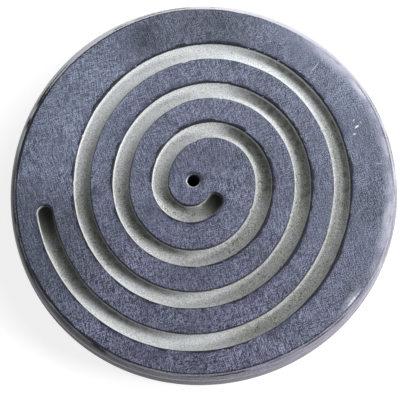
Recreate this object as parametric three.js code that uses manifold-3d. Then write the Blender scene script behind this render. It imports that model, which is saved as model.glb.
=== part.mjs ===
// A round soapstone incense stick holder: one flat stone disc with a spiral ash groove and a stick hole.
// Millimetres, +Z up. The origin is the middle of the underside, and +X runs to the side where the
// two centres of the spiral lie apart.

import * as THREE from "three";
import { mergeVertices } from "three/addons/utils/BufferGeometryUtils.js";
import Module from "manifold-3d";

const wasm = await Module();
wasm.setup();

// The disc, turned round and then rubbed down by hand
const discRadius = 50;
const discThickness = 11;
const footRound = 0.9;
const wallBelly = 0.3;

// The shoulder between the wall and the top face: a narrow flat bevel, then a round
const shoulderHeight = 2.1;
const shoulderWidth = 1.95;
const bevelWidth = 0.7;
const bevelDrop = 0.25;

// How far hand rubbing has left the outline off a true circle
const ovalHeight = 0.24;
const ovalCrestDegrees = 45;
const threeLobeHeight = 0.18;
const threeLobeCrestDegrees = -7.5;
const fourLobeHeight = 0.06;
const fourLobeCrestDegrees = 45;

// The ash groove, cut with a round-nosed tool along half circles struck from two centres in turn
const grooveWidth = 4.3;
const grooveLip = 0.5;
const grooveBowl = 2.2;
const landWidth = 5.7;
const rimLand = 7.57;
const halfTurns = 7;
const innerCurl = 1.47;
const spiralCentreX = -2.8;
const spiralCentreY = 0.96;
const spiralLengthShare = 1.07;
const outerEndDegrees = 191;
const lastArcDegrees = 143;

// The stick hole, drilled beside the spiral's first centre
const holeDiameter = 3.2;
const holeDepth = 8;
const holeBevel = 0.2;
const holePointDegrees = 118;
const holeOffsetX = 0.24;
const holeOffsetY = 0.55;

// How far a cutter stands out of the stone that it cuts
const cutterOverrun = 1;

// Facets
const discSegments = 120;
const curveSegments = 3;
const bowlSegments = 5;
const cutterSegments = 24;
const holeSegments = 24;
const degreesPerStep = 7.5;

// Colours
const stoneSkinColour = 0x6c7085;
const stoneSkinRoughness = 0.62;

const halfTurn = Math.PI;

// A closed geometry as a solid that can be cut
function solidOf(geometry) {
  const shell = geometry.clone();
  shell.deleteAttribute("normal");
  shell.deleteAttribute("uv");
  const merged = mergeVertices(shell);
  return new wasm.Manifold(
    new wasm.Mesh({
      numProp: 3,
      vertProperties: merged.attributes.position.array,
      triVerts: new Uint32Array(merged.index.array),
    }),
  );
}

// A solid as a geometry that can be drawn
function geometryOf(solid) {
  const { vertProperties, triVerts } = solid.getMesh();
  const geometry = new THREE.BufferGeometry();
  geometry.setAttribute("position", new THREE.BufferAttribute(vertProperties, 3));
  geometry.setIndex(new THREE.BufferAttribute(triVerts, 1));
  geometry.computeVertexNormals();
  return geometry;
}

// A profile of (radius, height) points revolved about +Z
function revolved(points, segments) {
  return new THREE.LatheGeometry(points, segments).rotateX(halfTurn / 2);
}

// The height of a rubbed wave at an angle round the disc
function wave(angle, lobes, height, crestDegrees) {
  return height * Math.cos(lobes * (angle - THREE.MathUtils.degToRad(crestDegrees)));
}

// Moves each point of a turned disc in or out with the waves of its outline
function handRubbed(geometry) {
  const place = geometry.getAttribute("position");
  for (let i = 0; i < place.count; i += 1) {
    const angle = Math.atan2(place.getY(i), place.getX(i));
    const swell =
      wave(angle, 2, ovalHeight, ovalCrestDegrees) +
      wave(angle, 3, threeLobeHeight, threeLobeCrestDegrees) +
      wave(angle, 4, fourLobeHeight, fourLobeCrestDegrees);
    const growth = (discRadius + swell) / discRadius;
    place.setXY(i, place.getX(i) * growth, place.getY(i) * growth);
  }
  return geometry;
}

// The disc's outline from the underside, up the bellied wall and over the shoulder to the top face
function discProfile() {
  const wallRadius = discRadius - wallBelly;
  const topRadius = discRadius - shoulderWidth;
  const shoulderFoot = discThickness - shoulderHeight;
  const roundMiddle = discThickness - (shoulderHeight + bevelDrop) / 2;
  const outline = new THREE.Path();
  outline.moveTo(0, 0);
  outline.lineTo(wallRadius - footRound, 0);
  outline.quadraticCurveTo(wallRadius, 0, wallRadius, footRound);
  outline.quadraticCurveTo(discRadius + wallBelly, (footRound + shoulderFoot) / 2, wallRadius, shoulderFoot);
  outline.quadraticCurveTo(wallRadius, roundMiddle, topRadius + bevelWidth, discThickness - bevelDrop);
  outline.lineTo(topRadius, discThickness);
  outline.lineTo(0, discThickness);
  return outline.getPoints(curveSegments);
}

// The groove's middle line on the top face, from its outer end inwards
class SpiralLine extends THREE.Curve {
  constructor() {
    super();
    this.centreStep = (grooveWidth + landWidth) / 2;
    this.outerRadius = discRadius - shoulderWidth - rimLand - grooveWidth / 2;
    this.lastArc = halfTurns - 1;
    this.startAngle = THREE.MathUtils.degToRad(outerEndDegrees);
    this.endAngle = halfTurn * (1 + this.lastArc) + THREE.MathUtils.degToRad(lastArcDegrees);
  }

  getPoint(t, target = new THREE.Vector3()) {
    const angle = THREE.MathUtils.lerp(this.startAngle, this.endAngle, t);
    const arc = Math.min(Math.floor(angle / halfTurn) - 1, this.lastArc);
    const intoArc = angle / halfTurn - 1 - arc;
    const curl = arc === this.lastArc ? innerCurl * intoArc : 0;
    const radius = this.outerRadius - arc * this.centreStep - curl;
    const centreX = spiralCentreX + (arc % 2) * this.centreStep;
    const x = centreX + radius * Math.cos(angle);
    const y = spiralCentreY + radius * Math.sin(angle) * spiralLengthShare;
    return target.set(x, y, discThickness);
  }

  // Steps even in angle keep the tight inner turns as round as the outer ones
  getUtoTmapping(u) {
    return u;
  }

  get steps() {
    return Math.round(THREE.MathUtils.radToDeg(this.endAngle - this.startAngle) / degreesPerStep);
  }
}

// The groove's cross-section, with x down into the stone and y across the groove
function grooveSection() {
  const half = grooveWidth / 2;
  const section = new THREE.Shape();
  section.moveTo(-cutterOverrun, half);
  section.lineTo(grooveLip, half);
  section.absellipse(grooveLip, 0, grooveBowl, half, halfTurn / 2, -halfTurn / 2, true, 0);
  section.lineTo(-cutterOverrun, -half);
  return section;
}

// The round-nosed cutter standing at one end of the groove
function cutterAt(place) {
  const half = grooveWidth / 2;
  const outline = [new THREE.Vector2(0, -grooveLip - grooveBowl)];
  for (let i = 1; i <= bowlSegments; i += 1) {
    const angle = ((i / bowlSegments) * halfTurn) / 2;
    outline.push(new THREE.Vector2(half * Math.sin(angle), -grooveLip - grooveBowl * Math.cos(angle)));
  }
  outline.push(new THREE.Vector2(half, cutterOverrun));
  outline.push(new THREE.Vector2(0, cutterOverrun));
  return revolved(outline, cutterSegments).translate(place.x, place.y, place.z);
}

// Everything that the groove takes out of the disc
function grooveCut() {
  const line = new SpiralLine();
  const sweep = new THREE.ExtrudeGeometry(grooveSection(), {
    extrudePath: line,
    steps: line.steps,
    curveSegments: bowlSegments,
  });
  return solidOf(sweep)
    .add(solidOf(cutterAt(line.getPoint(0))))
    .add(solidOf(cutterAt(line.getPoint(1))));
}

// The stick hole's drill, with its point and the bevel at the mouth
function holeCut() {
  const radius = holeDiameter / 2;
  const mouthRadius = radius + holeBevel;
  const pointHeight = radius / Math.tan(THREE.MathUtils.degToRad(holePointDegrees / 2));
  const outline = [
    new THREE.Vector2(0, -holeDepth - pointHeight),
    new THREE.Vector2(radius, -holeDepth),
    new THREE.Vector2(radius, -holeBevel),
    new THREE.Vector2(mouthRadius, 0),
    new THREE.Vector2(mouthRadius, cutterOverrun),
    new THREE.Vector2(0, cutterOverrun),
  ];
  const x = spiralCentreX + holeOffsetX;
  const y = spiralCentreY + holeOffsetY;
  return solidOf(revolved(outline, holeSegments).translate(x, y, discThickness));
}

// The one piece of the object
function stoneDisc() {
  const blank = solidOf(handRubbed(revolved(discProfile(), discSegments)));
  const carved = blank.subtract(grooveCut()).subtract(holeCut());
  const skin = new THREE.MeshStandardMaterial({
    color: stoneSkinColour,
    roughness: stoneSkinRoughness,
    metalness: 0,
  });
  const mesh = new THREE.Mesh(geometryOf(carved), skin);
  mesh.name = "stone_disc";
  return mesh;
}

const holder = new THREE.Group();
holder.add(stoneDisc());

export default holder;
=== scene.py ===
import functools
import math

import bpy
import numpy as np
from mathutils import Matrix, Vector, geometry, kdtree, noise


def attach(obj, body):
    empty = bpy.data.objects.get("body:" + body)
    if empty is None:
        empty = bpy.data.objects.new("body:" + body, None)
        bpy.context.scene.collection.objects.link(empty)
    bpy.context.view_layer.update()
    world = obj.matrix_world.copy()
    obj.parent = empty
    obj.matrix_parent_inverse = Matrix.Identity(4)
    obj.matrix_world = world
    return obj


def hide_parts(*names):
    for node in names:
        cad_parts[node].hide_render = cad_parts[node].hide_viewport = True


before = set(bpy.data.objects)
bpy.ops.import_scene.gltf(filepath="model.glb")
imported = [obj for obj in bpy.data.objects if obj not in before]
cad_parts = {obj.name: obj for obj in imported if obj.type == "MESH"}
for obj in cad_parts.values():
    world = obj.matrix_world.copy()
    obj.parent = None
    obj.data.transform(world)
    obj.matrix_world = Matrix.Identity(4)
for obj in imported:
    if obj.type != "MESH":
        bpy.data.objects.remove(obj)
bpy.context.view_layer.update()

MM = 0.001

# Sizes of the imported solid, in millimetres and degrees
DISC_RADIUS = 50.0
THICKNESS = 11.0
FOOT_ROUND = 0.9
WALL_BELLY = 0.3
SHOULDER_HEIGHT = 2.1
SHOULDER_WIDTH = 1.95
BEVEL_WIDTH = 0.7
BEVEL_DROP = 0.25
GROOVE_WIDTH = 4.3
GROOVE_LIP = 0.5
GROOVE_BOWL = 2.2
LAND_WIDTH = 5.7
RIM_LAND = 7.57
INNER_CURL = 1.47
CENTRE_X = -2.8
CENTRE_Y = 0.96
LENGTH_SHARE = 1.07
OUTER_END_DEGREES = 191.0
LAST_ARC = 6
LAST_ARC_DEGREES = 143.0
HOLE_RADIUS = 1.6
HOLE_DEPTH = 8.0
HOLE_BEVEL = 0.2
HOLE_POINT_DEGREES = 118.0
HOLE_OFFSET_X = 0.24
HOLE_OFFSET_Y = 0.55

HOLE_X = CENTRE_X + HOLE_OFFSET_X
HOLE_Y = CENTRE_Y + HOLE_OFFSET_Y
HALF_GROOVE = GROOVE_WIDTH / 2
CENTRE_STEP = (GROOVE_WIDTH + LAND_WIDTH) / 2
OUTER_RADIUS = DISC_RADIUS - SHOULDER_WIDTH - RIM_LAND - HALF_GROOVE
WALL_RADIUS = DISC_RADIUS - WALL_BELLY
MOUTH_RADIUS = HOLE_RADIUS + HOLE_BEVEL

# Waves that take the outline off a true circle: how many round the disc, how high, and where one crests
OUTLINE_WAVES = ((2, 0.24, 45.0), (3, 0.18, -7.5), (4, 0.06, 45.0))

# The edge of the flat top face, here called the crease, wanders by waves of its own
CREASE_RADIUS = DISC_RADIUS - SHOULDER_WIDTH + 0.05
CREASE_WAVES = ((1, 0.18, -8), (2, 0.16, 14), (3, 0.09, -14), (4, 0.08, -4), (5, 0.09, 34), (6, 0.09, -29))

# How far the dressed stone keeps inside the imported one, so that its finer facets never stand proud
SKIN_INSET = 0.05

# Mesh density
COLUMNS = 480           # round the rim
STEP_ALONG = 0.5        # along the groove
CAP_STEPS = 17          # round each end of the groove
HOLE_COLUMNS = 56
LAND_PITCH = 0.62       # between points of the flat lands
LAND_ROW_SHARE = 0.866  # of that pitch, between their rows
FINE_STEPS = 24001      # along the spiral, where its length is measured
SMOOTH_REACH = 6        # steps along the groove over which its direction is smoothed
SMOOTH_SPREAD = 2.5
ANGLE_SLACK = 1e-9      # half turns by which an arc may start early, against rounding

# Where the rings of the rim and the hole end on the lands, and how far the lands' own points keep from rings
RIM_FLAT = 2.1          # in from the crease
HOLE_FLAT = 2.75        # out from the hole's middle
RIM_GAP = 0.38
HOLE_GAP = 0.3
LIP_GAP = 0.34
WELD = 1e-6

# Smooth noise: how far each seed moves it, and what brings it to about -1 to 1
SEED_STEPS = (17.3, 5.1, 9.7)
NOISE_GAIN = 1.6

# Values that the material reads at each point, in millimetres apart from the side: lip, out from the
# groove's lip; side, 1 on the groove's outer side and -1 on its inner one; crease, from the nearer edge of
# the rim's bevel; rim, in from the crease, and below 0 out and down the rim; bore, out from the hole's mouth
VALUE_NAMES = ("lip", "side", "crease", "rim", "bore")
FAR_OFF = 9.0           # stands for all but the side, where a ring gives none
RIM_WALL = -2.2         # the value rim below the shoulder
RIM_WALL_SPAN = 7       # how much further it falls down the wall
RIM_FOOT = -9.5
RIM_UNDER = -10.0
BORE_INSIDE = -1.0
TOP_BAND = 0.6          # points no deeper than this belong to the top face
RIM_ZONE = 30           # and of those, points further out than this may be the rim's


def ramp(x, low, high):
    """0 below low, 1 above high, smooth between."""
    t = np.clip((np.asarray(x, float) - low) / (high - low), 0, 1)
    return t * t * (3 - 2 * t)


def flat(places):
    """(n, 2) to (n, 3) with z 0."""
    return np.column_stack([places, np.zeros(len(places))])


def wobble(points, size, seed):
    """Smooth noise of about -1 to 1 at points (n, 3), whose features are about `size` millimetres."""
    shift = Vector([step * seed for step in SEED_STEPS])
    return np.array([noise.noise(Vector(p) / size + shift) for p in points]) * NOISE_GAIN


def waves(angle, rows):
    """The height of a set of waves at an angle round the disc."""
    return sum(height * np.cos(count * (angle - math.radians(crest))) for count, height, crest in rows)


def growth(angle):
    """How much wider than a true circle the outline is, as in the solid."""
    return (DISC_RADIUS + waves(angle, OUTLINE_WAVES)) / DISC_RADIUS


def quadratic(start, control, end, t):
    """A quadratic curve's value at t."""
    return (1 - t) ** 2 * start + 2 * t * (1 - t) * control + t * t * end


def top_hollow(places):
    """How far below the highest level the rubbed top face lies, in millimetres."""
    slow = wobble(flat(places), 21.0, 1)
    quick = wobble(flat(places), 6.0, 2)
    return 0.035 + 0.02 * slow + 0.012 * quick


class Disc:
    """Collects points, faces and the per-point values that the material reads."""

    def __init__(self):
        self.points, self.faces = [], []
        self.values = {name: [] for name in VALUE_NAMES}

    def add(self, points, **values):
        """Adds points (n, 3) and returns their numbers."""
        start = len(self.points)
        self.points.extend(map(tuple, points))
        for name, kept in self.values.items():
            given = values.get(name, 0.0 if name == "side" else FAR_OFF)
            kept.extend(np.broadcast_to(np.asarray(given, float), len(points)).tolist())
        return np.arange(start, start + len(points))

    def bridge(self, outer, inner):
        """Quads between two closed rings of as many points, counter-clockwise seen from outside."""
        for i in range(len(outer)):
            j = (i + 1) % len(outer)
            self.faces.append((outer[i], outer[j], inner[j], inner[i]))

    def fan(self, row, middle):
        """Triangles from a row of points to one more point, counter-clockwise seen from outside."""
        for a, b in zip(row, row[1:]):
            self.faces.append((a, b, middle))


disc = Disc()


# The groove
def spiral(angle):
    """Places on the groove's middle line, as in the solid."""
    arc = np.minimum(np.floor(angle / math.pi + ANGLE_SLACK) - 1, LAST_ARC)
    into = angle / math.pi - 1 - arc
    radius = OUTER_RADIUS - arc * CENTRE_STEP - np.where(arc == LAST_ARC, INNER_CURL * into, 0)
    x = CENTRE_X + (arc % 2) * CENTRE_STEP + radius * np.cos(angle)
    return np.column_stack([x, CENTRE_Y + radius * np.sin(angle) * LENGTH_SHARE])


def spiral_line():
    """Places at even steps along the groove, with the unit vectors along it and to its inner side."""
    last_angle = math.pi * (1 + LAST_ARC) + math.radians(LAST_ARC_DEGREES)
    fine = spiral(np.linspace(math.radians(OUTER_END_DEGREES), last_angle, FINE_STEPS))
    run = np.concatenate([[0], np.cumsum(np.hypot(*np.diff(fine, axis=0).T))])
    at = np.linspace(0, run[-1], int(round(run[-1] / STEP_ALONG)) + 1)
    line = np.column_stack([np.interp(at, run, fine[:, k]) for k in (0, 1)])
    kernel = np.exp(-0.5 * (np.arange(-SMOOTH_REACH, SMOOTH_REACH + 1) / SMOOTH_SPREAD) ** 2)
    kernel /= kernel.sum()
    padded = np.pad(np.gradient(line, axis=0), ((SMOOTH_REACH, SMOOTH_REACH), (0, 0)), mode="edge")
    ahead = np.column_stack([np.convolve(padded[:, k], kernel, "valid") for k in (0, 1)])
    ahead /= np.linalg.norm(ahead, axis=1)[:, None]
    return line, ahead, np.column_stack([-ahead[:, 1], ahead[:, 0]])


def bowl(u):
    """The groove's depth at distance u from its middle line, below the upright lip."""
    return GROOVE_LIP + GROOVE_BOWL * math.sqrt(max(0.0, 1 - (u / HALF_GROOVE) ** 2))


def groove_ring(u):
    """The closed ring at distance u round the groove: places, the line's index for each, and the side."""
    turn = np.linspace(0, math.pi, CAP_STEPS + 2)[1:-1]
    across, along = np.cos(turn)[:, None], np.sin(turn)[:, None]
    out = LINE - INWARD * u
    end = LINE[-1] + u * (-INWARD[-1] * across + AHEAD[-1] * along)
    back = (LINE + INWARD * u)[::-1]
    start = LINE[0] + u * (INWARD[0] * across - AHEAD[0] * along)
    n = len(LINE)
    index = [np.arange(n), np.full(CAP_STEPS, n - 1), np.arange(n)[::-1], np.zeros(CAP_STEPS, int)]
    side = [np.ones(n), np.cos(turn), -np.ones(n), -np.cos(turn)]
    return np.concatenate([out, end, back, start]), np.concatenate(index), np.concatenate(side)


def lip_shift(ring):
    """How far the lip wanders out of line, in millimetres, at the places of the ring at the lip."""
    at = flat(ring)
    sway = 0.055 * wobble(at, 8.0, 3) + 0.022 * wobble(at, 1.7, 4)
    chip = ramp(wobble(at, 1.5, 5), 0.55, 1.0)
    rare = ramp(wobble(at, 11.0, 6), 0.2, 0.7)
    shift = sway + 0.22 * rare * chip
    for x, y, size, depth in NICKS:
        away = np.hypot(ring[:, 0] - x, ring[:, 1] - y)
        shift += depth * np.exp(-((away / size) ** 2))
    return shift


def close_floor(middle, ring):
    """Faces from the groove's middle line to its first ring, on both sides and round both ends."""
    n = len(middle)
    outer, inner = ring[:n], ring[n + CAP_STEPS:2 * n + CAP_STEPS][::-1]
    for i in range(n - 1):
        disc.faces.append((middle[i], outer[i], outer[i + 1], middle[i + 1]))
        disc.faces.append((middle[i], middle[i + 1], inner[i + 1], inner[i]))
    disc.fan(ring[n - 1:n + CAP_STEPS + 1], middle[-1])
    disc.fan(np.append(ring[2 * n + CAP_STEPS - 1:], ring[0]), middle[0])


def build_groove():
    """Rings from the middle line out to the land. Returns the last ring's point numbers and places."""
    floor_depth = bowl(0) * FLOOR_WANDER + top_hollow(LINE)
    middle = disc.add(np.column_stack([LINE, THICKNESS - floor_depth]), lip=-HALF_GROOVE)
    previous = None
    for u, depth in GROOVE_ROWS:
        ring, index, side = groove_ring(u)
        pull = ramp(u, 0.9, 2.1)
        ring = ring + LIP_OUT * (LIP_SHIFT * pull)[:, None]
        sag = depth * (1 + (FLOOR_WANDER[index] - 1) * (1 - 0.8 * pull))
        worn = 0.5 * np.clip(LIP_SHIFT, 0, None) * ramp(u, 2.05, 2.15) * (1 - ramp(u, 2.2, 2.5))
        height = THICKNESS - sag - worn - top_hollow(ring)
        now = disc.add(np.column_stack([ring, height]), lip=u - HALF_GROOVE, side=side)
        if previous is None:
            close_floor(middle, now)
        else:
            disc.bridge(now, previous)
        previous = now
    return previous, ring


# Nicks seen in the lips: place along x and y, how far round, how deep
NICKS = ((12.0, -6.0, 0.55, 0.30), (2.0, -1.9, 0.4, 0.16), (-13.5, 24.6, 0.5, 0.14), (30.4, -9.0, 0.6, 0.2))

# The rings round the groove, from its bowl up to the lip and out onto the land: distance from the line, depth
GROOVE_ROWS = [(u, bowl(u)) for u in (0.5, 0.95, 1.32, 1.62, 1.84, 1.99, 2.08, 2.13)]
GROOVE_ROWS += [(2.148, 0.62), (2.152, 0.36), (2.166, 0.19), (2.205, 0.08), (2.27, 0.028), (2.38, 0.006)]
GROOVE_ROWS += [(2.58, 0.0)]
LAND_EDGE = GROOVE_ROWS[-1][0] - HALF_GROOVE

LINE, AHEAD, INWARD = spiral_line()
LIP_RING, LIP_INDEX, _ = groove_ring(HALF_GROOVE)
LIP_OUT = LIP_RING - LINE[LIP_INDEX]
LIP_OUT /= np.linalg.norm(LIP_OUT, axis=1)[:, None]
LIP_SHIFT = lip_shift(LIP_RING)
FLOOR_WANDER = 1 + 0.035 * wobble(flat(LINE), 8.0, 7) + 0.02 * wobble(flat(LINE), 2.2, 8)


# The stick hole, with small chips round its mouth
CHIP_DEPTH = 0.05
CHIP_SIZE = 0.8
CHIP_REACH = 0.25       # to both sides of the mouth's edge
MOUTH_DEPTH = 0.5       # rings less deep than this still belong to the mouth


def hole_rows():
    """Rings from the land over the bevelled mouth and down the hole: radius, depth."""
    yield from ((HOLE_FLAT, 0), (2.35, 0), (2.02, 0.004))
    for outside, depth in ((0.05, 0.02), (-0.03, 0.06), (-0.1, 0.13)):
        yield MOUTH_RADIUS + outside, depth
    yield HOLE_RADIUS + 0.03, 0.22
    for depth in (0.34, 0.7, 1.2, 2.0, 3.2, 4.8, 6.6, HOLE_DEPTH):
        yield HOLE_RADIUS, depth


def build_hole():
    """Rings from the land down to the drill's point. Returns the first ring's point numbers and places."""
    turn = np.linspace(0, 2 * math.pi, HOLE_COLUMNS, endpoint=False)
    unit = np.column_stack([np.cos(turn), np.sin(turn)])
    middle = np.array([HOLE_X, HOLE_Y])
    first = previous = None
    for radius, depth in hole_rows():
        outside = radius - MOUTH_RADIUS
        chip = wobble(flat(middle + radius * unit), CHIP_SIZE, 9) * CHIP_DEPTH * (abs(outside) < CHIP_REACH)
        at = middle + (radius + chip)[:, None] * unit
        height = THICKNESS - depth - top_hollow(at) * (depth < HOLE_DEPTH / 2)
        now = disc.add(np.column_stack([at, height]), bore=outside if depth < MOUTH_DEPTH else BORE_INSIDE)
        if previous is None:
            first = (now, at)
        else:
            disc.bridge(previous, now)
        previous = now
    point_depth = HOLE_DEPTH + HOLE_RADIUS / math.tan(math.radians(HOLE_POINT_DEGREES / 2))
    tip = disc.add([(HOLE_X, HOLE_Y, THICKNESS - point_depth)], bore=BORE_INSIDE)[0]
    disc.fan(np.append(previous, previous[0]), tip)
    return first


# The rim
THETA = np.linspace(-math.pi, math.pi, COLUMNS, endpoint=False)
RIM_UNIT = np.column_stack([np.cos(THETA), np.sin(THETA)])

# The crease and the narrow bevel outside it: how far out, share of the edge's roll, depth, the value crease
BEVEL_ROWS = (
    (0.0, 1.0, 0.012, 0.0),
    (0.09, 1.0, 0.04, 0.09),
    (0.35, 0.7, 0.13, 0.33),
    (0.60, 0.5, 0.215, 0.1),
    (0.70, 0.4, 0.262, 0.0),
    (0.79, 0.3, 0.33, 0.1),
)

# How far the crease is rolled over: all round, and more at these places: direction, reach in degrees, depth
EDGE_ROLL = 0.02
EDGE_ROLLS = ((30, 36, 0.15), (-42, 24, 0.12), (80, 30, 0.06))

HOLLOW_REACH = 1.5      # how deep down the shoulder the top face's hollows fade out
CREEP_RADIUS = 40       # of the circle on which the crease's small wandering is read from the noise


def bump_at(degrees, width):
    """1 at an angle round the rim and 0 beyond width degrees, smooth between."""
    away = np.abs((np.degrees(THETA) - degrees + 180) % 360 - 180)
    return 1 - ramp(away, 0, width)


def rim_rows(crease, roll):
    """Rows from the flat land out over the shoulder, down the wall and under to the middle: radius, depth,
    and the values crease and rim."""
    for inside in (RIM_FLAT, 1.75, 1.4, 1.05, 0.75, 0.5, 0.28, 0.1):
        yield crease - inside, roll * (1 - inside / RIM_FLAT) ** 2, inside, inside
    for out, share, depth, from_edge in BEVEL_ROWS:
        yield crease + out, roll * share + depth, from_edge, -out
    bevel_depth = BEVEL_DROP + roll * 0.3
    control_depth = (SHOULDER_HEIGHT + BEVEL_DROP) / 2
    for t in (0.2, 0.32, 0.44, 0.56, 0.68, 0.8, 0.9, 1.0):
        radius = quadratic(crease + BEVEL_WIDTH, WALL_RADIUS, WALL_RADIUS, t)
        depth = quadratic(bevel_depth, control_depth, SHOULDER_HEIGHT, t)
        yield radius, depth, 0.5 + t, -BEVEL_WIDTH - 1.4 * t
    foot = THICKNESS - FOOT_ROUND
    for t in np.linspace(0, 1, 12)[1:]:
        radius = WALL_RADIUS + 2 * t * (1 - t) * 2 * WALL_BELLY
        yield radius, SHOULDER_HEIGHT + t * (foot - SHOULDER_HEIGHT), FAR_OFF, RIM_WALL - RIM_WALL_SPAN * t
    for t in (0.25, 0.5, 0.75, 1.0):
        yield WALL_RADIUS - t * t * FOOT_ROUND, foot + (1 - (1 - t) ** 2) * FOOT_ROUND, FAR_OFF, RIM_FOOT
    for radius in (47.6, 45.5, 42, 37, 30, 22, 14, 7, 2.5):
        yield radius, THICKNESS, FAR_OFF, RIM_UNDER


def build_rim():
    """The rim's rows as rings, and the underside. Returns the first ring's point numbers and places."""
    round_disc = flat(RIM_UNIT) * CREEP_RADIUS
    creep = 0.06 * wobble(round_disc, 14.0, 10) + 0.03 * wobble(round_disc, 4.0, 11)
    crease = CREASE_RADIUS + 0.5 * creep + waves(THETA, CREASE_WAVES)
    roll = EDGE_ROLL + sum(depth * bump_at(degrees, reach) for degrees, reach, depth in EDGE_ROLLS)
    scale = growth(THETA) * (DISC_RADIUS - SKIN_INSET) / DISC_RADIUS
    first = previous = None
    for radius, depth, from_edge, outside in rim_rows(crease, roll):
        at = RIM_UNIT * (radius * scale)[:, None]
        fade = np.clip(1 - depth / HOLLOW_REACH, 0, 1)
        height = np.maximum(THICKNESS - depth - top_hollow(at) * fade, 0)
        now = disc.add(np.column_stack([at, height]), crease=from_edge, rim=outside)
        if previous is None:
            first = (now, at)
        else:
            disc.bridge(now, previous)
        previous = now
    middle = disc.add([(0, 0, 0)], rim=RIM_UNDER)[0]
    disc.fan(np.append(previous, previous[0])[::-1], middle)
    return first


groove_edge = build_groove()
hole_edge = build_hole()
rim_edge = build_rim()
rim_limit = np.hypot(*rim_edge[1].T)

line_tree = kdtree.KDTree(len(LINE))
for line_i, (line_x, line_y) in enumerate(LINE):
    line_tree.insert((line_x, line_y, 0), line_i)
line_tree.balance()


# The lands between the rings
def lip_distance(x, y):
    """Distance from the groove's lip, positive on the land, and the side of the groove."""
    _, i, away = line_tree.find((x, y, 0))
    inside = (x - LINE[i][0]) * INWARD[i][0] + (y - LINE[i][1]) * INWARD[i][1]
    return away - HALF_GROOVE, (1.0 if inside < 0 else -1.0)


def rim_distance(x, y):
    """Distance in from the rim's first ring."""
    turns = (np.arctan2(y, x) + math.pi) / (2 * math.pi)
    column = np.round(turns * COLUMNS).astype(int) % COLUMNS
    return rim_limit[column] - np.hypot(x, y)


def loose_places():
    """An even triangle grid over the lands, clear of the rings: places, and lip distance and side of each."""
    rows = int(2 * DISC_RADIUS / (LAND_PITCH * LAND_ROW_SHARE)) + 2
    steps = int(2 * DISC_RADIUS / LAND_PITCH) + 2
    row, step = np.divmod(np.arange(rows * steps), steps)
    x = -DISC_RADIUS + (step + 0.5 * (row % 2)) * LAND_PITCH
    y = -DISC_RADIUS + row * LAND_PITCH * LAND_ROW_SHARE
    off_hole = np.hypot(x - HOLE_X, y - HOLE_Y) >= HOLE_FLAT + HOLE_GAP
    places = np.column_stack([x, y])[off_hole & (rim_distance(x, y) >= RIM_GAP)]
    measured = np.array([lip_distance(*place) for place in places])
    off_lip = measured[:, 0] >= LAND_EDGE + LIP_GAP
    return places[off_lip], measured[off_lip]


def add_loose():
    """Adds the lands' own points. Returns their numbers and places."""
    places, measured = loose_places()
    x, y = places.T
    inside = rim_distance(x, y) + RIM_FLAT
    bore = np.hypot(x - HOLE_X, y - HOLE_Y) - MOUTH_RADIUS
    points = np.column_stack([places, THICKNESS - top_hollow(places)])
    lip, side = measured.T
    return disc.add(points, lip=lip, side=side, crease=inside, rim=inside, bore=bore), places


def on_land(places, kinds):
    """Whether a triangle is part of the lands and no opening, from its corners' places and kinds."""
    if kinds == {"groove"}:
        x, y = np.mean(places, axis=0)
        return lip_distance(x, y)[0] >= LAND_EDGE
    return kinds not in ({"rim"}, {"hole"})


def build_lands():
    """Joins all the rings with one triangle mesh that has the lands' own points in it."""
    numbers, kinds, places, edges = [], [], [], []
    parts = {"rim": rim_edge, "groove": groove_edge, "hole": hole_edge, "land": add_loose()}
    for kind, (part_numbers, part_places) in parts.items():
        first, count = len(numbers), len(part_numbers)
        numbers.extend(part_numbers)
        kinds.extend([kind] * count)
        places.extend(part_places)
        if kind != "land":
            edges += [(first + i, first + (i + 1) % count) for i in range(count)]
    made = geometry.delaunay_2d_cdt([Vector(place) for place in places], edges, [], 0, WELD, True)
    out_places, _, faces, origins = made[:4]
    if len(out_places) != len(numbers):
        raise RuntimeError(f"the land mesh has {len(out_places)} points, and {len(numbers)} went in")
    for face in faces:
        corners = [origins[i][0] for i in face]
        if on_land([out_places[i] for i in face], {kinds[corner] for corner in corners}):
            disc.faces.append(tuple(numbers[corner] for corner in corners))


def fill_values(points, values):
    """Gives the groove's and the hole's points on the top face their distance from the rim, and the rim's
    points there theirs from the lip."""
    on_top = points[:, 2] > THICKNESS - TOP_BAND
    inside = rim_distance(points[:, 0], points[:, 1]) + RIM_FLAT
    lacking = (values["rim"] == FAR_OFF) & on_top
    for name in ("rim", "crease"):
        values[name][lacking] = inside[lacking]
    far_out = np.hypot(points[:, 0], points[:, 1]) > RIM_ZONE
    for i in np.nonzero((values["lip"] == FAR_OFF) & on_top & far_out)[0]:
        values["lip"][i], values["side"][i] = lip_distance(*points[i, :2])


def make_stone():
    """The collected points and faces as one Blender object."""
    points = np.array(disc.points)
    values = {name: np.array(kept) for name, kept in disc.values.items()}
    fill_values(points, values)
    mesh = bpy.data.meshes.new("soapstone_disc")
    mesh.from_pydata((points * MM).tolist(), [], [tuple(int(i) for i in face) for face in disc.faces])
    mesh.validate(verbose=False)
    for name, kept in values.items():
        made = mesh.attributes.new("stone_" + name, "FLOAT", "POINT")
        made.data.foreach_set("value", kept.astype(np.float32))
    mesh.shade_smooth()
    made = bpy.data.objects.new("soapstone_disc", mesh)
    bpy.context.scene.collection.objects.link(made)
    triangles = sum(len(polygon.vertices) - 2 for polygon in mesh.polygons)
    print("soapstone_disc:", len(mesh.vertices), "points,", triangles, "triangles")
    return made


build_lands()
stone = make_stone()

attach(stone, "root")
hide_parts("stone_disc")


# The stone's colours, as they look on screen. A pair is mixed by place.
def rgb(*levels):
    """A colour given as the 0 to 255 levels that it has on screen."""
    shares = [level / 255 for level in levels]
    return tuple(((s + 0.055) / 1.055) ** 2.4 if s > 0.04045 else s / 12.92 for s in shares)


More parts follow.
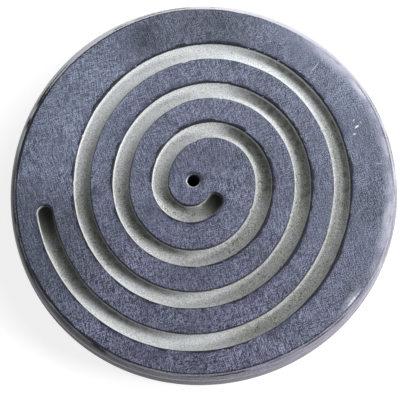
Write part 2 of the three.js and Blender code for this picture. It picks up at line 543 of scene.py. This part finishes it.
SKIN_MIDDLE = rgb(95, 103, 121), rgb(100, 102, 125)
SKIN_DARK = rgb(44, 50, 66), rgb(48, 49, 70)
SKIN_LIGHT = rgb(143, 152, 172), rgb(147, 149, 176)
# Pale for the scratches, and for the painted glints and sheen near the right edge
SCRATCH_AND_GLINT_PALE = rgb(232, 228, 238)
PIT = rgb(26, 27, 44)
# Soft painted shade beside the outer lips, and the black of the lip line, which is partly painted shade
LIP_SHADE = rgb(46, 47, 72)
LIP_BLACK = rgb(5, 6, 22)
# A painted sheen for the top face's edge at the right
EDGE_SHEEN = rgb(184, 185, 203)
# The black of the line along the top face's edge, partly painted shade
EDGE_BLACK = rgb(8, 8, 22)
# The rim's shaded and lit tones, painted shade and light by direction, and its painted sheen and reflection
RIM_SHADED = rgb(106, 106, 117), rgb(124, 121, 138)
RIM_LIT = rgb(154, 154, 166), rgb(168, 166, 184)
RIM_SHEEN = rgb(194, 194, 205), rgb(229, 232, 238)
RIM_SPECK = rgb(60, 58, 70)
# A painted reflection of the white floor, low on the wall
WALL_FLOOR_REFLECTION = rgb(164, 160, 172)
# The black of that line on the bevel, partly painted shade
BEVEL_BLACK = rgb(14, 13, 24)
UNDERSIDE = rgb(84, 87, 100), rgb(116, 119, 132)
CUT_STONE = rgb(180, 183, 179), rgb(189, 190, 192)
MOTTLE = rgb(138, 141, 134)
DARK_GRAIN = rgb(104, 107, 100)
PALE_GRAIN = rgb(230, 232, 231)
SPARSE_SPECK = rgb(88, 90, 84)
# Painted light on the cut stone
GROOVE_PAINTED_LIGHT = rgb(227, 231, 233)
DARK_CRUMB = rgb(92, 94, 89)
PALE_CRUMB = rgb(240, 242, 242)
# Painted shade on the groove's walls that face away from the lamps, and darker painted shade at its two ends
GROOVE_SHADE = rgb(66, 68, 58)
GROOVE_END_SHADE = rgb(34, 37, 32)
# A painted highlight on the top of the groove's outer wall at the left
LIP_HIGHLIGHT = rgb(246, 247, 250)
# Painted shade inside the stick hole, and on the side of its mouth that faces away from the lamps
HOLE_SHADE = rgb(38, 37, 38)
MOUTH_SHADE = rgb(30, 31, 44)

# Gloss and relief
STONE_IOR = 1.57
STONE_SPECULAR = 0.22
COAT = 0.4              # on the rubbed shoulder
COAT_ROUGHNESS = 0.28
RELIEF = 0.05           # millimetres

# Patches of the skin that are darker or lighter than the rest, partly its own uneven tone and partly painted
# light and shade that follow how the lamps light the top face: place, size, and gain in the middle
TONE_AND_LIGHT_PATCHES = (
    (-14.0, 39.6, 9, 0.70),
    (1.0, 44.0, 24, 0.57),
    (-16.0, 40.0, 5.5, 0.62),
    (-31.0, 26.0, 22, 1.38),
    (-39.0, -16.0, 24, 0.72),
    (36.0, 27.0, 14, 1.15),
    (31.0, -29.0, 14, 1.06),
    (-6.0, -45.0, 24, 0.82),
    (14.0, -17.0, 11, 0.78),
    (4.0, 9.0, 10, 0.80),
    (21.0, 1.0, 12, 0.84),
    (0.0, -23.0, 13, 0.87),
    (-1.0, -33.0, 10, 0.88),
    (0.0, 31.0, 13, 1.32),
    (-35.0, 8.0, 17, 1.34),
    (42.0, -3.0, 13, 0.86),
    (-13.0, 0.0, 9, 1.12),
)

# Pale marks in the skin: middle, direction in degrees, half length, half width, strength. The first six are
# scratches and specks rubbed into it; the rest are painted glints and sheen near the right edge, which faces
# the lamps
SCRATCHES_AND_GLINTS = (
    (29.1, 32.1, 50, 1.9, 0.12, 0.5),
    (39.6, 15.9, 38, 0.70, 0.24, 1.0),
    (38.9, 13.9, 20, 0.38, 0.22, 0.9),
    (38.8, 17.6, 55, 0.42, 0.16, 0.7),
    (40.6, 17.0, -55, 0.45, 0.10, 0.6),
    (45.2, 6.0, -4, 1.2, 0.09, 0.45),
    # Painted glints on the right edge
    (47.25, -6.0, 81, 1.5, 0.22, 1.6),
    (46.75, -9.6, 79, 1.3, 0.24, 1.6),
    (46.3, -8.4, 80, 1.9, 0.7, 0.50),
    # A painted glint on the lower right edge
    (37.4, -29.4, 50, 2.6, 0.28, 0.95),
    (36.6, -29.3, 50, 3.4, 0.60, 0.26),
    # Painted sheen just inside the upper right edge
    (41.2, 25.6, -50, 3.4, 1.1, 0.55),
    (38.6, 29.9, -50, 2.6, 0.4, 0.6),
)

# Sets of sanding strokes: direction in degrees, and how far the noise is moved for each
STROKES = ((104, 0.0), (97, 40.0), (112, 80.0), (62, 120.0), (20, 160.0))

# How closely streaks follow one another, round the disc and across its rim
STREAKS_ROUND = 9.0
STREAKS_ACROSS = 2.6

# Painted shade at the two ends of the groove: place, how far it reaches and how strong it is
GROOVE_ENDS = [(*LINE[k].tolist(), THICKNESS) for k in (0, -1)]
END_SHADES = ((GROOVE_ENDS[0], 12.0, 1.0), (GROOVE_ENDS[1], 6.5, 0.95))


class Graph:
    """Short calls for the nodes of a material or the world."""

    def __init__(self, tree):
        self.tree = tree
        self.tree.nodes.clear()

    def put(self, socket, value):
        """Links another node's output to the socket, or sets it to a value."""
        if isinstance(value, bpy.types.NodeSocket):
            self.tree.links.new(value, socket)
        elif socket.type == "RGBA":
            socket.default_value = (*value, 1.0)
        else:
            socket.default_value = value

    def node(self, kind, inputs=None, **settings):
        """A node with its settings, and its inputs by name or number."""
        made = self.tree.nodes.new("ShaderNode" + kind)
        for key, value in settings.items():
            setattr(made, key, value)
        for key, value in (inputs or {}).items():
            self.put(made.inputs[key], value)
        return made

    def math(self, operation, *values):
        return self.node("Math", dict(enumerate(values)), operation=operation).outputs[0]

    def chain(self, operation, values):
        """One operation over all the values in turn."""
        return functools.reduce(lambda a, b: self.math(operation, a, b), values)

    def plus(self, *values):
        return self.chain("ADD", values)

    def times(self, *values):
        return self.chain("MULTIPLY", values)

    def most(self, *values):
        return self.chain("MAXIMUM", values)

    def minus(self, a, b):
        return self.math("SUBTRACT", a, b)

    def swayed(self, value, by, gain):
        """The value plus gain times how far `by` is above a half."""
        return self.math("MULTIPLY_ADD", self.minus(by, 0.5), gain, value)

    def span(self, value, low, high, to_low=0.0, to_high=1.0, kind="SMOOTHSTEP"):
        """The value between low and high as one between to_low and to_high, and no further."""
        inputs = {"Value": value, "From Min": low, "From Max": high, "To Min": to_low, "To Max": to_high}
        return self.node("MapRange", inputs, interpolation_type=kind).outputs[0]

    def mix(self, share, a, b):
        """Colour a where share is 0 and b where it is 1. A Mix node's colours are its sockets 6 and 7."""
        return self.node("Mix", {0: share, 6: a, 7: b}, data_type="RGBA").outputs[2]

    def blend(self, share, a, b):
        """Number a where share is 0 and b where it is 1. A Mix node's numbers are its sockets 2 and 3."""
        return self.node("Mix", {0: share, 2: a, 3: b}, data_type="FLOAT").outputs[0]

    def vector(self, operation, a, b):
        return self.node("VectorMath", {0: a, 1: b}, operation=operation).outputs["Vector"]

    def scaled(self, vector, scale):
        return self.node("VectorMath", {0: vector, "Scale": scale}, operation="SCALE").outputs["Vector"]

    def distance(self, a, b):
        return self.node("VectorMath", {0: a, 1: b}, operation="DISTANCE").outputs["Value"]

    def noise(self, at, scale, detail, rough=0.5, moved=None):
        """Cloudy noise with about scale features to each unit of the coordinates, which may be moved."""
        if moved:
            at = self.vector("ADD", at, moved)
        inputs = {"Vector": at, "Scale": scale, "Detail": detail, "Roughness": rough}
        return self.node("TexNoise", inputs).outputs[0]

    def turned(self, vector, degrees, stretch):
        """The coordinates turned in the plane and stretched, for strokes that run along one direction."""
        inputs = {"Vector": vector, "Rotation": (0, 0, -math.radians(degrees))}
        return self.vector("MULTIPLY", self.node("Mapping", inputs).outputs[0], stretch)

    def level_unit(self, vector):
        """The vector's direction in the plane."""
        level = self.vector("MULTIPLY", vector, (1, 1, 0))
        return self.node("VectorMath", {0: level}, operation="NORMALIZE").outputs["Vector"]

    def seen(self):
        """1 for the camera's rays and mirror rays, which show the background white, and 0 for light."""
        path = self.node("LightPath")
        return self.most(path.outputs["Is Camera Ray"], path.outputs["Is Glossy Ray"])


class Soapstone(Graph):
    """The stone's material. A direction is in degrees round the disc: 0 right, 90 far, 180 left, 270 near."""

    def __init__(self, tree):
        super().__init__(tree)
        self.place = self.scaled(self.node("TexCoord").outputs["Object"], 1 / MM)
        self.unit = self.level_unit(self.place)
        for name in VALUE_NAMES:
            value = self.node("Attribute", attribute_name="stone_" + name).outputs["Fac"]
            setattr(self, name, value)
        self.x, self.y, z = self.node("SeparateXYZ", {0: self.place}).outputs
        self.radius = self.math("SQRT", self.plus(self.times(self.x, self.x), self.times(self.y, self.y)))

        # Coordinates that run round the disc, for streaks along the rim and the lips
        x_round = self.times(self.math("DIVIDE", self.x, self.radius), STREAKS_ROUND)
        y_round = self.times(self.math("DIVIDE", self.y, self.radius), STREAKS_ROUND)
        outwards = self.times(self.minus(self.radius, z), STREAKS_ACROSS)
        self.ringed = self.node("CombineXYZ", {0: x_round, 1: y_round, 2: outwards}).outputs[0]

        # Noises and masks that several layers share
        self.streak = self.noise(self.ringed, 1.0, 3.0, 0.7)
        self.jitter = self.times(self.minus(self.noise(self.place, 2.6, 2.0, 0.7), 0.5), 0.40)
        self.mottle = self.noise(self.place, 0.75, 2.0, 0.6, moved=(23, 5, 2))
        self.fine = self.noise(self.place, 3.0, 2.0, 0.75, moved=(3, 11, 7))
        self.outward = self.span(self.side, -0.3, 0.3)
        self.rubbed = self.span(self.rim, 0.05, -0.2)
        self.shoulder = self.times(self.rubbed, self.span(self.rim, -2.6, -1.9))
        self.under = self.span(self.rim, -9.6, -9.9)
        self.strokes = self.plus(*[self.stroke_set(degrees, seed) for degrees, seed in STROKES])
        self.speck = self.grain()
        self.edge_line = self.line_along_edge()
        self.cut = self.bare()

    def facing(self, degrees, low, high, to_low=0.0, to_high=1.0, unit=None):
        """A mask by direction from the middle: to_high towards degrees. Low and high are cosines off it."""
        towards = (math.cos(math.radians(degrees)), math.sin(math.radians(degrees)), 0)
        made = self.node("VectorMath", {0: unit or self.unit, 1: towards}, operation="DOT_PRODUCT")
        return self.span(made.outputs["Value"], low, high, to_low, to_high)

    def stroke_set(self, degrees, seed):
        """Sanding strokes of -1 to 1 along one direction, in patches of their own."""
        at = self.turned(self.vector("ADD", self.place, (seed, seed, 0)), degrees, (0.30, 4.6, 1.0))
        line = self.span(self.noise(at, 1.0, 1.0), 0.34, 0.66, -1.0, 1.0, "LINEAR")
        patch = self.span(self.noise(self.place, 0.05, 1.0, moved=(seed, 0, 5)), 0.45, 0.56)
        return self.times(line, patch)

    def grain(self):
        """The skin's grain of dark and light specks, about 0 to 1, with the strokes in it."""
        place, radius = self.place, self.radius
        small = self.span(self.noise(place, 4.2, 1.0, 0.7), 0.34, 0.66, kind="LINEAR")
        coarse = self.span(self.noise(place, 1.7, 2.0, 0.6, moved=(31, 7, 3)), 0.30, 0.70, kind="LINEAR")
        outer = self.span(radius, 28.0, 36.0)
        finer_right = self.times(self.facing(5, 0.25, 0.8), outer)
        rougher_near = self.times(self.facing(262, 0.70, 0.95), outer)
        share = self.math("MULTIPLY_ADD", rougher_near, 0.10, 0.34)
        share = self.math("MULTIPLY_ADD", finer_right, -0.22, share)
        speck = self.math("MULTIPLY_ADD", self.strokes, 0.16, self.blend(share, small, coarse))
        calm = self.times(self.facing(48, 0.70, 0.95), self.span(radius, 34.0, 42.0, 0.0, -0.26))
        harsh = self.times(self.facing(262, 0.60, 0.92), self.span(radius, 28.0, 38.0, 0.0, 0.30))
        wander = self.span(self.noise(place, 0.13, 2.0, 0.6, moved=(19, 4, 1)), 0.36, 0.64, 0.76, 1.10)
        return self.swayed(0.5, speck, self.plus(calm, harsh, wander))

    def marked(self, skin, x, y, degrees, half_length, half_width, strength):
        """The skin with one pale mark in it, frayed by the grain. Some marks are scratches, the others
        painted glints and sheen.
        """
        off = self.vector("SUBTRACT", self.place, (x, y, THICKNESS))
        off = self.turned(off, degrees, (1 / half_length, 1 / half_width, 0.0))
        frayed = self.swayed(self.distance(off, (0, 0, 0)), self.speck, 1.2)
        return self.mix(self.span(frayed, 1.2, 0.5, 0.0, strength), skin, SCRATCH_AND_GLINT_PALE)

    def brightness(self):
        """Slow changes of the skin's brightness, with its darker and lighter patches, partly the skin's own
        tone and partly painted light and shade.
        """
        gain = self.span(self.noise(self.place, 0.09, 3.0, 0.6), 0.35, 0.65, 0.90, 1.10)
        for x, y, size, patch_gain in TONE_AND_LIGHT_PATCHES:
            far = self.distance(self.place, (x, y, THICKNESS))
            gain = self.times(gain, self.span(far, size, 0.0, 1.0, patch_gain))
        return gain

    def skin(self):
        """The dark skin of the top face: a tint that leans from place to place, its grain, marks and pits."""
        lean = self.math("MULTIPLY_ADD", self.y, -0.003, 0.53)
        lean = self.math("MULTIPLY_ADD", self.times(self.x, self.x), -0.00012, lean)
        tint = self.span(self.swayed(lean, self.noise(self.place, 0.17, 3.0, 0.65), 0.9), 0.30, 0.70)
        dark = self.mix(tint, *SKIN_DARK)
        light = self.mix(tint, *SKIN_LIGHT)
        skin = self.mix(self.span(self.speck, 0.51, 0.20), self.mix(tint, *SKIN_MIDDLE), dark)
        skin = self.mix(self.span(self.speck, 0.53, 0.84), skin, light)
        # Scratches, and painted glints and sheen near the right edge
        for mark in SCRATCHES_AND_GLINTS:
            skin = self.marked(skin, *mark)
        pits = self.span(self.noise(self.place, 1.6, 2.0, 0.65, moved=(17, 2, 6)), 0.47, 0.35)
        pitted = self.plus(self.facing(262, 0.2, 0.9, 0.12, 0.8), self.facing(100, 0.7, 1.0, 0.0, 0.25))
        skin = self.mix(self.times(pits, pitted), skin, PIT)
        blot = self.span(self.noise(self.place, 0.16, 3.0, 0.65, moved=(5, 3, 9)), 0.56, 0.74)
        skin = self.mix(self.times(blot, self.facing(-20, 0.1, 0.8, 0.48, 0.14)), skin, dark)
        return self.scaled(skin, self.brightness())

    def with_lip_line(self, skin):
        """The skin with a black line where it breaks at the lips, ragged, and wide in places outside. At the
        right, where the outer lips face away from the lamps, the line is made ragged and wide as painted
        shade, and soft painted shade lies in patches beside the outer lips.
        """
        outward = self.outward
        patchy = self.span(self.noise(self.place, 0.20, 2.0, 0.6, moved=(7, 7, 1)), 0.44, 0.60, 0.0, 0.7)
        # Painted shade: ragged and wide at the right, where the outer lips face away from the lamps
        patchy = self.most(patchy, self.facing(-34, 0.955, 0.995), self.facing(4, 0.975, 0.999, 0.0, 0.8))
        smear = self.span(self.noise(self.ringed, 0.85, 3.0, 0.75, moved=(3, 1, 8)), 0.32, 0.56)
        ragged = self.times(patchy, smear, self.blend(outward, 0.20, 0.85))
        shade_width = self.times(self.facing(-34, 0.91, 0.99), outward, 0.54)
        width = self.plus(self.blend(outward, 0.05, 0.10), self.most(ragged, shade_width))
        width = self.plus(width, self.times(self.jitter, 1.25))
        line = self.span(self.minus(self.lip, width), -0.02, 0.15, 1.0, 0.0)
        for end in GROOVE_ENDS:
            line = self.times(line, self.span(self.distance(self.place, end), 4.4, 3.0, 1.0, 0.25))
        # Soft painted shade in patches beside the outer lips
        shaded = self.span(self.noise(self.place, 0.10, 2.0, 0.6, moved=(2, 6, 11)), 0.42, 0.60, 0.0, 0.62)
        shaded = self.times(shaded, self.span(self.lip, 1.9, 0.1), outward)
        skin = self.mix(shaded, skin, LIP_SHADE)
        return self.mix(self.times(line, self.blend(outward, 0.75, 0.94)), skin, LIP_BLACK)

    def line_along_edge(self):
        """A mask: the black line along the top face's edge, broken where that is rolled over and bright. It
        is partly painted shade, kept and widened on the sides that face away from the lamps.
        """
        broken = self.span(self.noise(self.place, 0.13, 1.0, moved=(4, 4, 2)), 0.44, 0.54)
        # Painted shade in part: the line is broken towards the lamps and kept away from them
        rolled = self.most(self.facing(37, 0.20, 0.65), self.facing(-18, 0.80, 0.96))
        kept = self.blend(rolled, 1.0, self.times(broken, 0.75))
        fading = self.facing(-18, 0.84, 0.96, 1.0, 0.55)
        kept = self.times(kept, fading, self.facing(56, 0.965, 0.99, 1.0, 0.2))
        kept = self.most(kept, self.facing(28, 0.985, 0.997, 0.0, 0.6))
        gouged = self.span(self.noise(self.ringed, 0.8, 3.0, 0.8, moved=(9, 9, 4)), 0.35, 0.65, -0.05, 0.40)
        # Widened at the left and near left, away from the lamps
        widened = self.times(self.facing(218, 0.80, 0.97), gouged)
        widened = self.plus(widened, self.facing(161, 0.95, 0.99, 0.0, 0.22))
        away = self.minus(self.minus(self.crease, self.times(self.jitter, 1.5)), widened)
        return self.times(self.span(away, 0.08, 0.24, 1.0, 0.0), kept)

    def with_edge(self, skin):
        """The skin with a painted sheen along the top face's edge on the right, where it faces the lamps, and
        the black line along it.
        """
        # Painted sheen on the right, where the edge faces the lamps
        edge_sheen = self.times(self.span(self.rim, 3.2, 0.0), self.facing(14, 0.62, 0.90))
        uneven = self.span(self.noise(self.place, 0.17, 2.0, 0.6, moved=(9, 2, 4)), 0.36, 0.62, 0.35, 0.95)
        skin = self.mix(self.times(edge_sheen, uneven), skin, EDGE_SHEEN)
        return self.mix(self.edge_line, skin, EDGE_BLACK)

    def rim_tone(self):
        """The rim, rubbed smoother and streaked along its length, with painted light and shade: darker on the
        left and lighter on the right, towards the lamps, a painted sheen and reflection at the far and right
        sides, and a painted reflection of the white floor low on the wall, most on the near side.
        """
        # Painted light and shade: darker on the left, lighter on the right towards the lamps
        toward_lamps = self.facing(0, -0.35, 0.55)
        dark = self.mix(toward_lamps, *RIM_SHADED)
        light = self.mix(toward_lamps, *RIM_LIT)
        tone = self.mix(self.span(self.streak, 0.35, 0.65), dark, light)
        # Painted sheen and reflection at the far and right sides
        worn = self.span(self.swayed(self.facing(86, -0.20, 0.40), self.streak, 0.8), 0.25, 0.65)
        below_edge = self.span(self.rim, 0.3, -0.9, 0.35, 1.0)
        above_wall = self.span(self.rim, -4.2, -2.4, 0.25, 1.0)
        worn = self.times(worn, self.times(below_edge, above_wall))
        tone = self.mix(worn, tone, self.mix(self.facing(140, 0.3, 0.9), *RIM_SHEEN))
        # Painted reflection of the white floor, low on the wall and most on the near side
        floor_reflection = self.times(self.span(self.rim, -1.6, -4.0), self.facing(268, 0.55, 0.95, 0.15, 0.6))
        tone = self.mix(floor_reflection, tone, WALL_FLOOR_REFLECTION)
        specks = self.times(self.span(self.speck, 0.2, 0.8, 0.38, 0.0), self.blend(worn, 1.0, 0.3))
        tone = self.mix(specks, tone, RIM_SPECK)
        # The edge's black line carried onto the bevel, partly painted shade
        split = self.span(self.noise(self.place, 0.12, 1.0, moved=(6, 1, 8)), 0.42, 0.58)
        line = self.times(self.edge_line, self.blend(self.span(self.rim, -0.3, -0.5), 1.0, split))
        return self.mix(line, tone, BEVEL_BLACK)

    def underside(self):
        """The underside, sanded flat in one direction."""
        sanded = self.noise(self.turned(self.place, 30, (0.2, 2.2, 1.0)), 1.0, 3.0, 0.7)
        return self.mix(self.span(sanded, 0.35, 0.65), *UNDERSIDE)

    def speckled(self, body, by, low, high, strength, colour):
        """The stone with a colour let in where a noise passes from low to high."""
        return self.mix(self.span(by, low, high, 0.0, strength), body, colour)

    def cut_stone(self):
        """The paler stone that the tools laid bare, with painted light that makes it palest on the far side
        and the near side, more so on the outer turns.
        """
        body = self.mix(self.span(self.noise(self.place, 0.13, 3.0, 0.6), 0.38, 0.62), *CUT_STONE)
        body = self.speckled(body, self.mottle, 0.48, 0.34, 0.36, MOTTLE)
        body = self.speckled(body, self.fine, 0.53, 0.32, 0.78, DARK_GRAIN)
        body = self.speckled(body, self.fine, 0.54, 0.70, 0.72, PALE_GRAIN)
        sparse = self.noise(self.place, 1.25, 1.0, moved=(13, 1, 17))
        body = self.speckled(body, sparse, 0.37, 0.27, 0.8, SPARSE_SPECK)
        # Painted light: paler on the far side and the near side, more so on the outer turns
        far_light = self.times(self.facing(100, -0.05, 0.95), self.span(self.radius, 10.0, 34.0, 0.57, 0.98))
        near_light = self.times(self.facing(252, 0.80, 0.97), self.span(self.radius, 12.0, 40.0, 0.20, 0.95))
        groove_light = self.times(self.most(far_light, near_light), self.span(self.fine, 0.35, 0.60, 0.66, 0.96))
        body = self.mix(groove_light, body, GROOVE_PAINTED_LIGHT)
        crumbs = self.noise(self.place, 3.6, 2.0, 0.8, moved=(8, 12, 3))
        body = self.speckled(body, crumbs, 0.49, 0.30, 0.78, DARK_CRUMB)
        return self.speckled(body, crumbs, 0.53, 0.70, 0.70, PALE_CRUMB)

    def with_groove_shade(self, body):
        """The cut stone with painted shade on its outer wall at the right and its inner wall lower left,
        which face away from the lamps, and at both ends of the groove.
        """
        # Painted shade on the walls that face away from the lamps
        across = self.times(self.side, self.plus(self.lip, HALF_GROOVE))
        inner_turns = self.span(self.radius, 36.0, 22.0, 0.0, 1.2)
        at_right = self.times(self.span(self.plus(across, inner_turns), 0.0, 1.1), self.facing(30, 0.62, 0.9))
        at_left = self.times(self.span(across, 0.1, -1.4), self.facing(222, 0.72, 0.95))
        wall_shade = self.times(self.plus(at_right, at_left), self.span(self.mottle, 0.30, 0.60, 0.80, 0.55))
        # Painted shade at both ends of the groove
        for end, reach, strength in END_SHADES:
            wall_shade = self.most(wall_shade, self.span(self.distance(self.place, end), reach, 2.5, 0.0, strength))
        body = self.mix(self.times(wall_shade, self.span(self.lip, -0.16, -0.40)), body, GROOVE_SHADE)
        # Deeper painted shade right at the ends
        ends = [self.distance(self.place, end) for end in GROOVE_ENDS]
        end_shade = self.most(*[self.span(far, 3.6, 1.8, 0.0, 0.9) for far in ends])
        return self.mix(self.times(end_shade, self.span(self.lip, -0.02, -0.22)), body, GROOVE_END_SHADE)

    def with_lit_lip(self, body):
        """The cut stone with a painted highlight on the top of its outer wall at the left, which faces the
        lamps.
        """
        # Painted highlight where the outer wall at the left faces the lamps
        pale = self.times(self.facing(178, 0.55, 0.92), self.span(self.lip, -0.48, -0.14))
        return self.mix(self.times(pale, self.outward, 0.38), body, LIP_HIGHLIGHT)

    def bare(self):
        """A mask: where the skin gives way to the cut stone, in the groove and the hole."""
        flake = self.span(self.noise(self.place, 0.75, 2.0, 0.6, moved=(2, 19, 6)), 0.64, 0.74, 0.0, 0.22)
        start = self.blend(self.outward, self.facing(45, 0.2, 0.8, -0.11, 0.06), -0.07)
        break_line = self.plus(self.times(self.jitter, 0.25), flake, start)
        in_groove = self.span(self.minus(self.lip, break_line), 0.035, -0.02)
        in_hole = self.span(self.minus(self.bore, self.times(self.jitter, 0.3)), 0.06, 0.0)
        return self.most(in_groove, in_hole)

    def with_hole_shade(self, colour):
        """The stone darkened inside the stick hole, and beside its mouth on the side that faces away from the
        lamps, as painted shade.
        """
        # Painted shade inside the deep hole
        colour = self.mix(self.span(self.bore, -0.25, -0.55), colour, HOLE_SHADE)
        # Painted shade on the side of the mouth that faces away from the lamps
        from_hole = self.level_unit(self.vector("SUBTRACT", self.place, (HOLE_X, HOLE_Y, THICKNESS)))
        beside = self.facing(64, -0.45, 0.65, 0.0, 0.85, unit=from_hole)
        return self.mix(self.times(self.span(self.bore, 1.3, 0.2), beside), colour, MOUTH_SHADE)

    def colour(self):
        skin = self.with_edge(self.with_lip_line(self.skin()))
        skin = self.mix(self.rubbed, skin, self.rim_tone())
        skin = self.mix(self.under, skin, self.underside())
        body = self.with_lit_lip(self.with_groove_shade(self.cut_stone()))
        return self.with_hole_shade(self.mix(self.cut, skin, body))

    def roughness(self):
        rough = self.blend(self.rubbed, self.span(self.speck, 0.2, 0.8, 0.62, 0.46), 0.62)
        rough = self.blend(self.shoulder, rough, self.span(self.streak, 0.35, 0.65, 0.42, 0.30))
        rough = self.blend(self.under, rough, 0.6)
        return self.blend(self.cut, rough, 0.85)

    def relief(self):
        skin_height = self.plus(self.times(self.speck, 0.6), self.times(self.strokes, 0.12))
        height = self.blend(self.rubbed, skin_height, self.times(self.streak, 0.25))
        height = self.blend(self.cut, height, self.fine)
        return self.node("Bump", {"Strength": 1.0, "Distance": RELIEF * MM, "Height": height}).outputs[0]

    def finish(self):
        """The shader and the output."""
        shader = self.node("BsdfPrincipled", {
            "Base Color": self.colour(),
            "Roughness": self.roughness(),
            "IOR": STONE_IOR,
            "Specular IOR Level": STONE_SPECULAR,
            "Coat Weight": self.times(self.shoulder, COAT, self.minus(1.0, self.edge_line)),
            "Coat Roughness": COAT_ROUGHNESS,
            "Normal": self.relief(),
        })
        self.node("OutputMaterial", {0: shader.outputs[0]})


def new_material(name):
    made = bpy.data.materials.new(name)
    made.use_nodes = True
    return made


soapstone = new_material("soapstone")
Soapstone(soapstone.node_tree).finish()
stone.data.materials.append(soapstone)

# The floor, in metres and linear colour. Only camera and mirror rays see it glow.
FLOOR_HALF = 3.0
FLOOR_DROP = 0.02 * MM
FLOOR_COLOUR = (0.34, 0.34, 0.34)
FLOOR_GLOW = 0.83
WHITE = (1, 1, 1)

# The camera as fitted to the photograph, in millimetres and picture points
TILT = math.radians(14.0)  # from straight down
CAMERA_DISTANCE = 381.149
LOOK_AT = Vector((-0.873, -0.880, 0.0))
FOCAL_PIXELS = 1452.265
PICTURE_PIXELS = 400
SENSOR = 36.0
CLIP_NEAR = 0.01        # metres
CLIP_FAR = 20           # metres

# Soft lamps that face the stone: name, azimuth (0 is +X, 90 is +Y) and elevation in degrees, distance, width
# and height in metres, and watts
LAMPS = (
    ("low_right", -16, 25, 0.60, 0.15, 0.15, 2.97),
    ("high_right", 15, 45, 0.60, 0.36, 0.30, 1.88),
    ("near_back", 75, 37, 0.14, 0.058, 0.058, 0.070),
)
SKY_STRENGTH = 0.10


def make_floor():
    """A floor that shows white, and keeps the stone's shadow."""
    material = new_material("floor_white")
    g = Graph(material.node_tree)
    plain = g.node("BsdfDiffuse", {"Color": FLOOR_COLOUR})
    glow = g.node("Emission", {"Color": WHITE, "Strength": g.times(g.seen(), FLOOR_GLOW)})
    both = g.node("AddShader", {0: plain.outputs[0], 1: glow.outputs[0]})
    g.node("OutputMaterial", {0: both.outputs[0]})
    mesh = bpy.data.meshes.new("floor")
    corners = [(x * FLOOR_HALF, y * FLOOR_HALF, 0) for x, y in ((-1, -1), (1, -1), (1, 1), (-1, 1))]
    mesh.from_pydata(corners, [], [(0, 1, 2, 3)])
    made = bpy.data.objects.new("floor", mesh)
    made.location.z = -FLOOR_DROP
    made.data.materials.append(material)
    bpy.context.scene.collection.objects.link(made)
    return made


def stand(name, data, location, away):
    """Adds a camera or lamp at a location, looking against the unit vector away."""
    made = bpy.data.objects.new(name, data)
    made.location = location
    made.rotation_mode = "QUATERNION"
    made.rotation_quaternion = (-away).to_track_quat("-Z", "Y")
    bpy.context.scene.collection.objects.link(made)
    return made


def make_camera():
    data = bpy.data.cameras.new("camera")
    data.sensor_width = SENSOR
    data.lens = FOCAL_PIXELS / PICTURE_PIXELS * SENSOR
    data.clip_start = CLIP_NEAR
    data.clip_end = CLIP_FAR
    away = Vector((0, -math.sin(TILT), math.cos(TILT)))
    return stand("camera", data, (LOOK_AT + away * CAMERA_DISTANCE) * MM, away)


def make_lamp(name, azimuth, elevation, distance, width, height, watts):
    data = bpy.data.lights.new(name, "AREA")
    data.shape = "RECTANGLE"
    data.size = width
    data.size_y = height
    data.energy = watts
    a, e = math.radians(azimuth), math.radians(elevation)
    away = Vector((math.cos(a) * math.cos(e), math.sin(a) * math.cos(e), math.sin(e)))
    stand(name, data, away * distance, away)


def make_world():
    """A faint even light, which camera and mirror rays see as white."""
    made = bpy.data.worlds.new("studio")
    made.use_nodes = True
    g = Graph(made.node_tree)
    sky = g.node("Background", {"Color": WHITE, "Strength": SKY_STRENGTH})
    white = g.node("Background", {"Color": WHITE, "Strength": 1.0})
    mixed = g.node("MixShader", {0: g.seen(), 1: sky.outputs[0], 2: white.outputs[0]})
    g.node("OutputWorld", {0: mixed.outputs[0]})
    return made


floor = make_floor()
bpy.context.scene.camera = make_camera()
for lamp in LAMPS:
    make_lamp(*lamp)
bpy.context.scene.world = make_world()
bpy.context.scene.view_settings.view_transform = "Standard"
